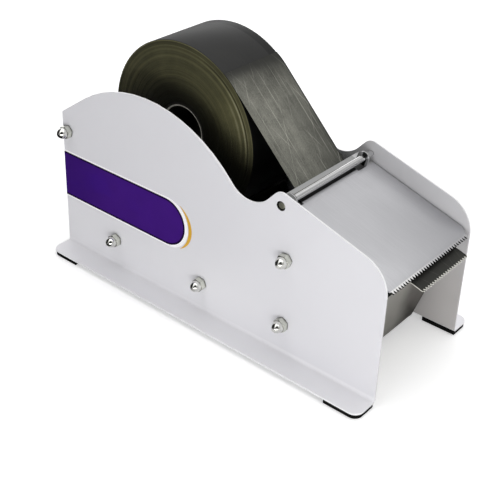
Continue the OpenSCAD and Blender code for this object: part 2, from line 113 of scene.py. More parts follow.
# Dome nuts
NUT_AF = 9.3 * MM
NUT_HEX_H = 4.8 * MM
NUT_H = 10.6 * MM
NUT_DOME_R = 4.35 * MM
NUT_BORE_R = 3.1 * MM
NUT_BORE_H = 8.5 * MM
NUT_EDGE = 0.14 * MM
NUT_SHARP = 28
NUT_STEPS = 72
NUT_BORE_STEPS = 48
NUT_DOME_STEPS = 12
NUT_TWIST = 17
NUT_TWIST_STEP = 41

# Cutter: its hinge ears and the depth of its teeth
EAR_Y = 42 * MM
TOOTH_DEPTH = 3 * MM

# Cut edges of the side plates, where highlights and shade are painted
COUNTERSINK_REACH = 4.2 * MM
PLATE_EDGE_FROM = 12 * MM
FLANGE_EDGE_OUT = 6 * MM

# Label film
FILM_BORDER = 1.3 * MM
FILM_AHEAD = 1.7 * MM
FILM_ARC_STEPS = 96

# Modelling: degrees past which an edge counts as sharp, and below which faces count as one
SHARP = 35
ROLL_SHARP = 30
CORE_SHARP = 50
FLAT = 0.5

# Pieces that keep their node's shape, with the radius of their edges in millimetres
EDGES = {
    "right_plate": 0.4, "left_plate": 0.4, "roll_cradle": 0.3, "water_tank": 0.2, "cutter_plate": 0.15,
    "hinge_rod": 0.1, "wet_roller_axle": 0.4, "wet_roller_sleeve": 0.25, "wet_roller_core": 0.3,
    "axle_bush_right": 0.25, "axle_bush_left": 0.25, "foot_front_right": 0.4, "foot_front_left": 0.4,
    "foot_rear_right": 0.4, "foot_rear_left": 0.4, "rear_spacer": 0.3, "cradle_spacer_rear": 0.3,
    "cradle_spacer_front": 0.3, "tank_spacer_upper": 0.3, "tank_spacer_lower": 0.3,
}

# Studio floor, which is dark in reflections left of a fade along X
FLOOR_SIZE = 8
FLOOR_DROP = 0.02 * MM
FLOOR_TONE = (0.9, 0.9, 0.9)
FLOOR_DARK = (0.02, 0.02, 0.02)
FLOOR_FADE = (-0.10, 0.05)
FLOOR_LIFT = 0.43

# Studio light; each patch or bar of the sky fades between two angles in degrees
SKY_LOW = 0.52
SKY_HIGH = 1.75
SKY_RISE = (0.5, 0.98)
SKY_DARK = 0.94
CAMERA_BAR = (20, 38)
BAR_TOP = (0.85, 0.97)
LEFT_WAY = (-0.86, -0.36, 0.22)
LEFT_PATCH = (40, 50)
BACKDROP = 1.0
BACKDROP_WAY = (-0.76, 0.62, 0.08)
BACKDROP_PATCH = (12, 36)
KEY_AT = (0.5, -0.68, 0.07)
KEY_TARGET = (0.02, -0.05, 0.06)
KEY_SIZE = (0.7, 0.14)
KEY_POWER = 2.7


class Value:
    """A value in a node tree: arithmetic on it adds Math nodes."""

    def __init__(self, shader, socket):
        self.shader = shader
        self.socket = socket

    def __add__(self, other):
        return self.shader.math("ADD", self, other)

    def __sub__(self, other):
        return self.shader.math("SUBTRACT", self, other)

    def __rsub__(self, other):
        return self.shader.math("SUBTRACT", other, self)

    def __mul__(self, other):
        return self.shader.math("MULTIPLY", self, other)

    def __truediv__(self, other):
        return self.shader.math("DIVIDE", self, other)

    def __rtruediv__(self, other):
        return self.shader.math("DIVIDE", other, self)

    __radd__ = __add__
    __rmul__ = __mul__


class Shader:
    """A node tree in the making: node() adds any node, the rest name the common ones."""

    def __init__(self, owner):
        owner.use_nodes = True
        self.tree = owner.node_tree
        self.tree.nodes.clear()

    def node(self, kind, settings=None, inputs=None, output=0):
        made = self.tree.nodes.new(kind)
        for name, value in (settings or {}).items():
            if name == "stops":
                self.set_stops(made.color_ramp.elements, value)
            else:
                setattr(made, name, value)
        for key, value in (inputs or {}).items():
            socket = made.inputs[key]
            if isinstance(value, Value):
                self.tree.links.new(value.socket, socket)
            elif socket.type == "RGBA":
                socket.default_value = (*value, 1)
            else:
                socket.default_value = value
        if isinstance(output, tuple):
            return [Value(self, made.outputs[key]) for key in output]
        return Value(self, made.outputs[output]) if made.outputs else made

    @staticmethod
    def set_stops(elements, stops):
        while len(elements) < len(stops):
            elements.new(1)
        for element, (position, colour) in zip(elements, stops):
            element.position = position
            element.color = (*colour, 1)

    def math(self, operation, *values):
        return self.node("ShaderNodeMath", {"operation": operation}, dict(enumerate(values)))

    def clamp(self, value):
        return self.node("ShaderNodeClamp", {}, {"Value": value})

    def band(self, value, low, high):
        """0 below low, 1 above high, and a smooth step between."""
        inputs = {"Value": value, "From Min": low, "From Max": high}
        return self.node("ShaderNodeMapRange", {"interpolation_type": "SMOOTHSTEP"}, inputs)

    def mix(self, share, one, other):
        return self.node("ShaderNodeMix", {"data_type": "RGBA"}, {0: share, 6: one, 7: other}, 2)

    def ramp(self, value, *stops):
        return self.node("ShaderNodeValToRGB", {"stops": stops}, {"Fac": value})

    def place(self, centre=(0, 0, 0), turn=(0, 0, 0), stretch=(1, 1, 1)):
        """Object coordinates from a centre, turned, and stretched along the turned axes."""
        spot = self.node("ShaderNodeTexCoord", output="Object")
        inputs = {"Vector": spot, "Location": centre, "Rotation": turn, "Scale": stretch}
        return self.node("ShaderNodeMapping", {"vector_type": "TEXTURE"}, inputs)

    def uv(self, name):
        return self.node("ShaderNodeUVMap", {"uv_map": name})

    def axes(self, vector):
        return self.node("ShaderNodeSeparateXYZ", {}, {0: vector}, (0, 1, 2))

    def vector(self, x, y, z):
        return self.node("ShaderNodeCombineXYZ", {}, {0: x, 1: y, 2: z})

    def noise(self, vector, scale, detail, roughness=0.5):
        inputs = {"Vector": vector, "Scale": scale, "Detail": detail, "Roughness": roughness}
        return self.node("ShaderNodeTexNoise", {}, inputs, "Fac")

    def open_share(self, distance, low, high):
        """0 in corners and gaps, 1 where nothing else is within a distance; mixed into a colour, it paints shade.
        """
        seen = self.node("ShaderNodeAmbientOcclusion", {"samples": 8}, {"Distance": distance}, "AO")
        return self.band(seen, low, high)

    def bump(self, height, distance, strength):
        inputs = {"Height": height, "Distance": distance, "Strength": strength}
        return self.node("ShaderNodeBump", {}, inputs)


class Finish(Shader):
    """A material with one Principled surface."""

    def __init__(self, name):
        self.material = bpy.data.materials.new(name)
        super().__init__(self.material)

    def surface(self, inputs):
        shader = self.node("ShaderNodeBsdfPrincipled", {}, inputs)
        self.node("ShaderNodeOutputMaterial", {}, {"Surface": shader})
        return self.material


# Finishes


def powder_coat():
    """Satin white coat with a fine orange peel.

    Light and shade are painted into it: it is palest low outside, with a painted highlight
    along the fold, and greyer inside, with painted shade that turns black in its deepest corners.
    """
    f = Finish("powder_coat")
    spot = f.place()
    ahead, across, height = f.axes(spot)
    peel = f.noise(spot, 650, 2)
    cloud = f.noise(spot, 9, 3)
    coat = f.mix(cloud, (0.795, 0.790, 0.825), (0.825, 0.820, 0.855))
    # Painted light: paler low down on the rear half of the outside.
    low = (1 - f.band(height, 25 * MM, 75 * MM)) * (1 - f.band(ahead, 0, 80 * MM))
    coat = f.mix(low, coat, (0.89, 0.885, 0.915))
    # Painted shade: below 4 mm, on the flange, the coat is a flat, slightly greyer white.
    coat = f.mix(f.band(height, 4 * MM, 10 * MM), (0.80, 0.795, 0.825), coat)
    # Painted highlight along the fold from the plate to the flange.
    fold = f.band(height, 3.5 * MM, 5 * MM) * (1 - f.band(height, 7 * MM, 9 * MM))
    coat = f.mix(0.7 * fold, coat, (0.92, 0.915, 0.94))
    # Painted shade inside: greyer, and darker lower down.
    inside = f.mix(f.band(height, 30 * MM, 105 * MM), (0.60, 0.58, 0.572), (0.70, 0.695, 0.71))
    # Painted shade: near black where the inside is most sheltered, behind the hinge.
    sheltered = 1 - f.open_share(120 * MM, 0.08, 0.35)
    painted_deep_shade = sheltered * (1 - f.band(ahead, HINGE.x - 20 * MM, HINGE.x + 15 * MM))
    inside = f.mix(painted_deep_shade, inside, (0.004, 0.004, 0.004))
    skin = f.band(f.math("ABSOLUTE", across), PLATE_OUT - 1.2 * MM, PLATE_OUT - 0.9 * MM)
    return f.surface({
        "Base Color": f.mix(skin, inside, coat),
        "Roughness": 0.34 + 0.08 * cloud,
        "Normal": f.bump(peel, 0.02 * MM, 0.35),
    })


def black_rubber(name, colour, lift):
    """Matte rubber with a moulded grain and a little dust on it."""
    f = Finish(name)
    spot = f.place()
    grain = f.noise(spot, 1400, 3, 0.6)
    dust = f.noise(spot, 45, 4, 0.65)
    return f.surface({
        "Base Color": f.mix(f.band(dust, 0.45, 0.8), colour, lift),
        "Roughness": 0.62 + 0.18 * dust,
        "Specular IOR Level": 0.1,
        "Normal": f.bump(grain, 0.03 * MM, 0.5),
    })


def drawn_steel(name, colour, roughness):
    """Steel with fine lines round or along the piece, drawn along Y."""
    f = Finish(name)
    lines = f.noise(f.place(stretch=(1, 40, 1)), 1600, 2)
    cloud = f.noise(f.place(), 40, 3)
    dark = tuple(0.82 * c for c in colour)
    return f.surface({
        "Base Color": f.mix(cloud, dark, colour),
        "Metallic": 1.0,
        "Roughness": roughness + 0.08 * lines,
        "Normal": f.bump(lines, 0.01 * MM, 0.3),
    })


def nickel_plate(name, dark, light, roughness, metallic=1.0):
    """Nickel plate with faint polishing swirls, and painted shade, near black, in its corners."""
    f = Finish(name)
    swirl = f.noise(f.place(), 900, 3, 0.6)
    plate = f.mix(swirl, dark, light)
    return f.surface({
        # Painted shade, near black, in the corners.
        "Base Color": f.mix(f.open_share(3 * MM, 0.5, 0.85), (0.012, 0.012, 0.010), plate),
        "Metallic": metallic,
        "Roughness": roughness + 0.06 * swirl,
        "Normal": f.bump(swirl, 0.004 * MM, 0.3),
    })


def satin_stainless():
    """Satin stainless sheet, brushed along the feed.

    Light and shade are painted in: paler on its near side and darker on its far side towards
    the teeth, a painted highlight at its nearest teeth and along its near edge, painted shade
    on the lip behind the hinge and in its corners, and a painted shadow under the hinge rod.
    """
    f = Finish("satin_stainless")
    along = f.place(HINGE, (0, SLOPE, 0), (60, 1, 60))
    lines = f.noise(along, 2400, 3, 0.65)
    cloud = f.noise(f.place(), 14, 3)
    ahead, across = f.axes(f.place(HINGE, (0, SLOPE, 0)))[:2]
    low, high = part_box("cutter_plate")
    tip = (high.x - HINGE.x) * math.cos(SLOPE) + (HINGE.z - low.z) * math.sin(SLOPE)
    # Painted light and shade: the near side grows paler towards the teeth, the far side darker.
    near = f.mix(f.band(ahead, 0, 0.9 * tip), (0.64, 0.64, 0.665), (0.78, 0.78, 0.805))
    far = f.mix(f.band(ahead, 0.2 * tip, 0.9 * tip), (0.74, 0.74, 0.765), (0.45, 0.45, 0.47))
    sheet = f.mix(f.band(across, -50 * MM, 50 * MM), near, far)
    sheet = f.mix(f.clamp(0.9 - 0.5 * cloud - 0.5 * lines), sheet, (0.36, 0.36, 0.375))
    # Painted highlight: near white, and not metal, at the nearest teeth and along the near edge by the teeth.
    nearest = 0.8 - 0.65 * f.band(across, -45 * MM, 15 * MM)
    front = nearest * f.band(ahead, tip - 3.5 * MM, tip - 2.7 * MM)
    margin = 1 - f.band(across, low.y + 0.9 * MM, low.y + 1.5 * MM)
    side = margin * f.band(ahead, tip - 12 * MM, tip - 9 * MM)
    painted_edge_highlight = f.math("MAXIMUM", front, side)
    sheet = f.mix(painted_edge_highlight, sheet, (0.97, 0.97, 0.95))
    # Painted shade on the lip behind the hinge.
    sheet = f.mix(f.band(ahead, -3 * MM, -2 * MM), (0.36, 0.36, 0.36), sheet)
    # Painted shadow, near black, under the hinge rod.
    painted_rod_shadow = f.band(ahead, -2 * MM, -1 * MM) * (1 - f.band(ahead, 2.6 * MM, 3.6 * MM))
    sheet = f.mix(painted_rod_shadow, sheet, (0.012, 0.012, 0.012))
    # Painted shade in the corners.
    corner = 1 - f.open_share(3 * MM, 0.1, 0.45)
    sheet = f.mix(corner, sheet, (0.06, 0.06, 0.06))
    # The ears are painted a flat mid grey, free of the painted shade round them.
    lanced = f.band(f.math("ABSOLUTE", across), EAR_Y - 0.3 * MM, EAR_Y)
    ear = lanced * (1 - f.band(ahead, 4.5 * MM, 5 * MM))
    return f.surface({
        "Base Color": f.mix(ear, sheet, (0.58, 0.58, 0.58)),
        "Metallic": 0.65 * (1 - painted_edge_highlight),
        "Roughness": 0.27 + 0.08 * lines + 0.05 * cloud,
        "Normal": f.bump(lines, 0.012 * MM, 0.4),
    })


def tank_stainless():
    """Dull stainless of the water tank, clouded by water marks, with painted shade inside and over its far half.
    """
    f = Finish("tank_stainless")
    spot = f.place()
    marks = f.noise(f.place(stretch=(1, 1, 3)), 40, 5, 0.6)
    grain = f.noise(f.place(stretch=(1, 40, 1)), 1800, 2)
    across, height = f.axes(spot)[1:]
    steel = f.mix(marks, (0.37, 0.36, 0.325), (0.51, 0.50, 0.465))
    # Painted shade over the far half, its edge broken up by the water marks.
    shade = f.band(across + 0.5 * height + 12 * MM * (marks - 0.5), 20 * MM, 42 * MM)
    steel = f.mix(0.95 * shade, steel, (0.14, 0.131, 0.116))
    return f.surface({
        # Painted shade, near black, where the tank is sheltered inside.
        "Base Color": f.mix(f.open_share(50 * MM, 0.05, 0.45), (0.03, 0.03, 0.028), steel),
        "Metallic": 1.0,
        "Roughness": 0.36 + 0.14 * marks,
        "Normal": f.bump(grain + 0.2 * f.noise(spot, 60, 2), 0.012 * MM, 0.4),
    })


def black_coat(name):
    """Matte black coat on the steel inside."""
    f = Finish(name)
    spot = f.place()
    cloud = f.noise(spot, 70, 4, 0.6)
    return f.surface({
        "Base Color": f.mix(cloud, (0.004, 0.004, 0.004), (0.009, 0.009, 0.009)),
        "Roughness": 0.65 + 0.15 * cloud,
        "Specular IOR Level": 0.1,
        "Normal": f.bump(f.noise(spot, 1200, 2), 0.01 * MM, 0.3),
    })


def tape_thread(f, along, across, angle, pitch, width, seed):
    """One family of reinforcing threads, which fade in and out along their length."""
    ahead = math.cos(math.radians(angle))
    aside = math.sin(math.radians(angle))
    off_line = across * ahead - along * aside
    on_line = along * ahead + across * aside
    row = off_line / pitch
    gap = f.math("ABSOLUTE", f.math("FRACT", row) - 0.5) * pitch
    fade = f.noise(f.vector(on_line * 30, f.math("FLOOR", row) * 7.3 + seed, seed), 1, 3, 0.6)
    return (1 - f.band(gap, 0.3 * width, width)) * f.band(fade, 0.46, 0.70)


def tape_paper(f, along, across):
    """Fibres along the feed, and the fibres mixed with a soft cloud."""
    fibre = f.noise(f.vector(along * 40, across * 1500, 0), 1, 4, 0.6)
    cloud = f.noise(f.vector(along * 25, across * 25, 0), 1, 3)
    return fibre, f.clamp(0.65 * fibre + 0.35 * cloud)


def tape_face():
    """Dark gummed paper on the roll, with painted shade that makes it darkest where the strip and the plates
    shelter it.
    """
    f = Finish("tape_face")
    along, across = f.axes(f.uv("tape"))[:2]
    fibre, tone = tape_paper(f, along, across)
    low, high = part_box("tape_roll")
    half = (high.y - low.y) / 2
    tone = tone * (1 - f.band(across, *(half - band for band in FAR_BAND)))
    paper = f.mix(tone, (0.011, 0.011, 0.0105), (0.038, 0.038, 0.037))
    return f.surface({
        # Painted shade, near black, where the strip and the plates shelter the roll.
        "Base Color": f.mix(f.open_share(90 * MM, 0.45, 0.9), (0.001, 0.001, 0.001), paper),
        "Roughness": 0.40 + 0.2 * fibre,
        "Specular IOR Level": 0.2,
        "Normal": f.bump(fibre, 0.03 * MM, 0.5),
    })


def strip_face(leave, bend, torn, near, pitch):
    """The strip's paper: a painted sheen from the roll to the bend, threaded, white along its torn edge, and with
    painted shade and a painted highlight.
    """
    f = Finish("strip_face")
    along, across = f.axes(f.uv("tape"))[:2]
    fibre, tone = tape_paper(f, along, across)
    grain = f.noise(f.vector(along * 900, across * 1800, 4.2), 1, 3, 0.6)
    threads = sum(tape_thread(f, along, across, *family) for family in THREADS)
    dark = f.mix(tone, (0.011, 0.011, 0.0095), (0.040, 0.040, 0.034))
    inward = across - near
    width = TEARS * pitch
    far_edge = f.band(inward, *(width - band for band in FAR_BAND))
    streak = f.noise(f.vector(along * 14, across * 160, 7.7), 1, 3, 0.6)
    cloud = f.noise(f.vector(along * 70, across * 90, 2.9), 1, 4, 0.65)
    # The paler paper of the painted sheen, streaked and clouded.
    pale = f.clamp(tone + (grain - 0.5) + 0.5 * (streak - 0.5) + 0.9 * (cloud - 0.5))
    pale = f.mix(pale, (0.06, 0.06, 0.050), (0.31, 0.31, 0.265))
    before_bend = 1 - f.band(along, bend - 6 * MM, bend)
    # Painted sheen: from where the strip leaves the roll to the bend, weaker towards its far side.
    off_roll = f.band(along - 0.2 * inward, leave - 26 * MM, leave + 16 * MM)
    painted_sheen = off_roll * f.band(along, 0, 10 * MM) * before_bend
    far = f.band(inward / width, 0.35, 1) * f.band(along, leave, leave + 50 * MM)
    paper = f.mix(painted_sheen * (1 - 0.6 * far), dark, pale)
    # The threads show pale, more so in the painted sheen.
    paper = f.mix(f.clamp(threads * (0.06 + 0.5 * painted_sheen)), paper, (0.58, 0.57, 0.50))
    paper = f.mix(0.85 * far_edge, paper, (0.004, 0.004, 0.004))
    # Painted shade, near black, where the cutter and the plates shelter the strip.
    paper = f.mix(f.open_share(14 * MM, 0.2, 0.7), (0.002, 0.002, 0.002), paper)
    wave = f.math("ABSOLUTE", 2 * f.math("FRACT", inward / pitch) - 1)
    from_tear = torn + TEAR_H * (1 - wave) - along
    # The white along the torn edge is the torn paper's own fibre; along the near side it is a painted highlight.
    # Before the bend the side counts as far away, so that no white edge shows there
    from_side = inward + 0.2 * before_bend
    edge = 1 - f.band(f.math("MINIMUM", from_tear, from_side), 0.35 * MM, 0.65 * MM)
    return f.surface({
        "Base Color": f.mix(edge, paper, (0.80, 0.79, 0.72)),
        "Roughness": 0.40 + 0.2 * fibre,
        "Specular IOR Level": 0.2,
        "Normal": f.bump(fibre + 0.8 * threads, 0.03 * MM, 0.5),
    })


def tape_winding():
    """Cut edges of the wound laps: rings of olive and near-black, crossed by faint wear and by painted light and
    shade.
    """
    f = Finish("tape_winding")
    spot = f.place(ROLL)
    x, z = f.axes(spot)[::2]
    radius = f.math("SQRT", x * x + z * z)
    laps = f.noise(f.vector(radius * 2600, 0, 0), 1, 3, 0.7)
    bands = f.noise(f.vector(radius * 420, 3.1, 0), 1, 4, 0.65)
    wear = f.noise(spot, 35, 4, 0.6)
    share = radius / (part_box("tape_roll")[1].z - ROLL.z)
    wear_and_painted_light = 0.43 + 0.9 * (bands - 0.5) + 0.8 * (laps - 0.5) + 0.6 * (wear - 0.5)
    # Painted shade towards the core.
    wear_and_painted_light = wear_and_painted_light * (0.15 + 0.85 * f.band(share, 0.30, 0.86))
    # Painted highlight: lighter rings in the outer laps.
    rim = f.band(share, 0.70, 0.98) * f.band(bands, 0.52, 0.66)
    # Painted light towards the front; on the front side, a painted highlight arc with a painted dark arc just
    # outside it.
    ahead = f.band(x, -35 * MM, 45 * MM)
    ring = f.band(x, 8 * MM, 40 * MM)
    bright = ring * f.band(share, 0.885, 0.905) * (1 - f.band(share, 0.905, 0.915))
    painted_dark_arc = ring * f.band(share, 0.91, 0.92) * (1 - f.band(share, 0.93, 0.94))
    wear_and_painted_light = f.clamp(wear_and_painted_light + 0.1 * rim + 0.3 * bright) * (1 - 0.6 * painted_dark_arc) * (0.85 + 0.32 * ahead)
    # Painted shade near the outer rim, and over the top of the middle laps.
    wear_and_painted_light = wear_and_painted_light * (1 - 0.25 * f.band(share, 0.93, 0.97))
    wear_and_painted_light = wear_and_painted_light * (1 - 0.42 * f.band(z, 12 * MM, 55 * MM) * f.band(share, 0.5, 0.8))
    # Painted highlight round the very rim, weaker on the front side.
    painted_edge_shading = f.band(share, 0.982, 0.99) * (1 - 0.7 * ring)
    wear_and_painted_light = f.clamp(wear_and_painted_light + 0.3 * painted_edge_shading)
    return f.surface({
        # Painted shade where the plates and the strip shelter the side.
        "Base Color": f.ramp(
            wear_and_painted_light * f.open_share(90 * MM, 0.25, 0.72),
            (0.0, (0.012, 0.012, 0.008)),
            (0.5, (0.130, 0.124, 0.060)),
            (1.0, (0.360, 0.340, 0.220)),
        ),
        "Roughness": 0.44 + 0.2 * laps,
        "Specular IOR Level": 0.15,
        "Normal": f.bump(laps, 0.05 * MM, 0.5),
    })


def paper_cut():
    """Pale torn or cut edge of the tape."""
    f = Finish("paper_cut")
    fuzz = f.noise(f.place(), 2500, 3)
    return f.surface({
        "Base Color": f.mix(fuzz, (0.42, 0.41, 0.36), (0.80, 0.79, 0.74)),
        "Roughness": 0.8 + 0.1 * fuzz,
    })


def core_board():
    """Dark cardboard of the roll's core, wound from spiral plies."""
    f = Finish("core_board")
    x, y, z = f.axes(f.place(ROLL))
    turn = f.math("ARCTAN2", z, x) / TURN
    ply = f.math("FRACT", y * 28 + turn)
    seam = f.band(f.math("ABSOLUTE", ply - 0.5), 0.47, 0.5)
    fibre = f.noise(f.place(), 700, 4, 0.65)
    return f.surface({
        "Base Color": f.mix(fibre, (0.012, 0.011, 0.009), (0.040, 0.037, 0.030)),
        "Roughness": 0.72 + 0.15 * fibre,
        "Normal": f.bump(fibre - 1.5 * seam, 0.06 * MM, 0.5),
    })


def core_rim():
    """Pale edge of the core, pale from wear, with a faint painted glow, since little light reaches it."""
    f = Finish("core_rim")
    fuzz = f.noise(f.place(), 900, 3)
    return f.surface({
        "Base Color": f.mix(fuzz, (0.42, 0.41, 0.36), (0.80, 0.79, 0.74)),
        "Roughness": 0.8 + 0.1 * fuzz,
        # Painted light: a faint glow on the pale edge.
        "Emission Color": f.mix(f.band(fuzz, 0.35, 0.65), (0.020, 0.019, 0.015), (0.075, 0.072, 0.062)),
        "Emission Strength": 1.0,
    })


def nylon():
    """Natural nylon with a moulded skin."""
    f = Finish("nylon")
    skin = f.noise(f.place(), 500, 3)
    return f.surface({
        "Base Color": f.mix(skin, (0.66, 0.65, 0.58), (0.76, 0.75, 0.69)),
        "Roughness": 0.38 + 0.12 * skin,
        "Normal": f.bump(skin, 0.02 * MM, 0.4),
    })


def print_film(name, dark, light):
    """A thin printed or sprayed film with a faint mottle and a glossy face."""
    f = Finish(name)
    spot = f.place()
    mottle = f.noise(spot, 60, 4, 0.6)
    return f.surface({
        "Base Color": f.mix(mottle, dark, light),
        "Roughness": 0.26 + 0.10 * mottle,
        "Specular IOR Level": 0.07,
        "Normal": f.bump(f.noise(spot, 320, 2), 0.008 * MM, 0.3),
    })


def bright_film():
    """White film of the label's border, with a faint glow that is painted light."""
    f = Finish("film_white")
    mottle = f.noise(f.place(), 60, 4, 0.6)
    return f.surface({
        "Base Color": f.mix(mottle, (0.945, 0.935, 0.955), (0.975, 0.965, 0.985)),
        "Roughness": 0.26 + 0.10 * mottle,
        # Painted light: a faint glow.
        "Emission Color": (1.0, 0.97, 1.0),
        "Emission Strength": 0.14,
    })


def label_ink(centre, radius):
    """Violet ink, denser in a thin line inside its outline."""
    f = Finish("label_ink")
    x, z = f.axes(f.place(centre))[::2]
    past = f.math("MAXIMUM", x, 0)
    line = f.band(f.math("SQRT", past * past + z * z), radius - 1.8 * MM, radius - 1.3 * MM)
    mottle = f.noise(f.place(), 60, 4, 0.6)
    patchy = f.band(f.noise(f.place(stretch=(2, 1, 1)), 45, 3), 0.45, 0.7)
    patchy = patchy * (1 - f.band(x, -60 * MM, 0))
    ink = f.mix(mottle, (0.046, 0.0075, 0.180), (0.060, 0.0095, 0.230))
    ink = f.mix(0.35 * patchy, ink, (0.046, 0.006, 0.270))
    # Darker towards the label's rear end.
    ink = f.mix(0.3 * (1 - f.band(x, -98 * MM, -50 * MM)), ink, (0.012, 0.001, 0.080))
    return f.surface({
        "Base Color": f.mix(line, ink, (0.010, 0.001, 0.032)),
        "Roughness": 0.26 + 0.10 * mottle,
        "Specular IOR Level": 0.07,
    })


FINISHES = {
    "powder_coat": powder_coat(),
    "foot_rubber": black_rubber("foot_rubber", (0.003, 0.003, 0.003), (0.008, 0.008, 0.008)),
    "tie_steel": drawn_steel("tie_steel", (0.60, 0.60, 0.60), 0.30),
    "spacer_coat": black_coat("spacer_coat"),
    "nut_chrome": nickel_plate("nut_chrome", (0.74, 0.74, 0.70), (0.82, 0.82, 0.78), 0.05),
    "cradle_coat": black_coat("cradle_coat"),
    "tape": tape_face(),
    "core_board": core_board(),
    "polished_rod": drawn_steel("polished_rod", (0.74, 0.74, 0.74), 0.13),
    "stainless": satin_stainless(),
    "tank_steel": tank_stainless(),
    "roller_rubber": black_rubber("roller_rubber", (0.030, 0.030, 0.032), (0.060, 0.060, 0.060)),
    "nylon": nylon(),
    "film_gold": print_film("film_gold", (0.69, 0.38, 0.045), (0.85, 0.51, 0.075)),
}
# A darker copy of the nut nickel for the hex flats: painted shade.
NUT_FLATS_PAINTED_SHADE = nickel_plate("nut_flats_painted_shade", (0.60, 0.61, 0.55), (0.74, 0.75, 0.68), 0.12, 0.8)
WINDING = tape_winding()
PAPER_CUT = paper_cut()
FILM_WHITE = bright_film()


# Modelling steps that several pieces share


def only(obj):
    """Makes obj the one that operators act on."""
    bpy.ops.object.select_all(action="DESELECT")
    obj.select_set(True)
    bpy.context.view_layer.objects.active = obj


def edit_all(obj):
    """Opens obj in edit mode with all of it selected."""
    only(obj)
    bpy.ops.object.mode_set(mode="EDIT")
    bpy.ops.mesh.select_all(action="SELECT")


def object_mode():
    bpy.ops.object.mode_set(mode="OBJECT")


def started(name):
    """Names the primitive that was just added and puts its place into its mesh."""
    obj = bpy.context.object
    obj.name = name
    obj.data.name = name
    only(obj)
    bpy.ops.object.transform_apply(location=True, rotation=True, scale=True)
    return obj


def apply_modifier(obj, kind, **settings):
    only(obj)
    modifier = obj.modifiers.new(kind.lower(), kind)
    for name, value in settings.items():
        setattr(modifier, name, value)
    bpy.ops.object.modifier_apply(modifier=modifier.name)


def shade_smooth(obj, angle):
    """Shades obj smooth, apart from edges sharper than an angle in degrees."""
    only(obj)
    bpy.ops.object.shade_smooth_by_angle(angle=math.radians(angle))


def round_edges(obj, width, angle=SHARP):
    """Rounds the sharp edges and shades the rest smooth."""
    shade_smooth(obj, angle)
    apply_modifier(
        obj, "BEVEL", width=width, segments=2, limit_method="ANGLE",
        angle_limit=math.radians(angle), harden_normals=True,
    )


def cut_or_join(obj, other, operation):
    """Cuts obj by another solid, or joins them, and removes the other."""
    apply_modifier(obj, "BOOLEAN", object=other, operation=operation, solver="EXACT")
    bpy.data.objects.remove(other)


def drawn_line(name, points):
    """Draws a line of vertices through points, ready to be spun."""
    bpy.ops.object.select_all(action="DESELECT")
    bpy.ops.mesh.primitive_plane_add(size=MM, location=points[0])
    obj = started(name)
    edit_all(obj)
    bpy.ops.mesh.merge(type="CENTER")
    for here, ahead in zip(points, points[1:]):
        bpy.ops.mesh.extrude_region_move(TRANSFORM_OT_translate={"value": ahead - here})
    object_mode()
    return obj


def spun(obj, centre, steps):
    """Spins a drawn line round an axis along Y into a closed skin that faces outwards."""
    edit_all(obj)
    bpy.ops.mesh.spin(steps=steps, angle=TURN, center=centre, axis=ALONG_Y)
    bpy.ops.mesh.select_all(action="SELECT")
    bpy.ops.mesh.remove_doubles(threshold=MERGE)
    bpy.ops.mesh.normals_make_consistent(inside=False)
    object_mode()
    return obj


def round_profile(centre, profile):
    """Points at [radius, y] pairs, drawn above an axis along Y."""
    return [Vector((centre.x, y, centre.z + radius)) for radius, y in profile]


def stands_for(obj, node, *materials):
    """Gives a finished piece its materials and the node that it stands for."""
    obj.data.materials.clear()
    for material in materials or [FINISHES[slot_of[node]]]:
        obj.data.materials.append(material)
    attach(obj, body_of[node])
    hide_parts(node)


def softened(node, width):
    """A copy of a node with its sharp edges rounded."""
    obj = bpy.data.objects.new("soft_" + node, frame["nodes"][node].data.copy())
    bpy.context.collection.objects.link(obj)
    edit_all(obj)
    bpy.ops.mesh.remove_doubles(threshold=MERGE)
    bpy.ops.mesh.customdata_custom_splitnormals_clear()
    bpy.ops.mesh.dissolve_limited(angle_limit=math.radians(FLAT))
    object_mode()
    round_edges(obj, width)
    stands_for(obj, node)


def paint_faces(obj, index, wanted):
    """Gives the wanted faces the material at an index."""
    for face in obj.data.polygons:
        if wanted(face):
            face.material_index = index


def off_axis(face, axis):
    """A face's distance from an axis along Y."""
    return math.hypot(face.center.x - axis.x, face.center.z - axis.z)


def lay_uv(obj, spot_of):
    """Lays the tape's own map: metres along and across the tape at each vertex."""
    layer = obj.data.uv_layers.new(name="tape")
    for loop in obj.data.loops:
        layer.data[loop.index].uv = spot_of(loop.vertex_index)


# Tape roll, core and strip


def lap_depth(step):
    """A repeatable, uneven depth between 0 and 1 for the step-th group of laps."""
    wave = 0.5 + 0.5 * math.sin(2.4 * step) * math.cos(0.9 * step + 1.3)
    return wave * wave


def lap_steps(inner, outer, y, inwards):
    """The roll's side from its core to its rim, with groups of laps set in a little."""
    points = []
    radius = inner
    step = 0
    while radius < outer - ROLL_RIM:
        width = LAP_LEAST + LAP_SPREAD * lap_depth(step + LAP_WIDTH_SHIFT)
        depth = LAP_DEPTH * lap_depth(step)
        far = min(radius + width, outer - ROLL_RIM)
        points.append((radius + LAP_SLOPE, y + inwards * depth))
        points.append((far, y + inwards * depth))
        radius = far
        step += 1
    return points


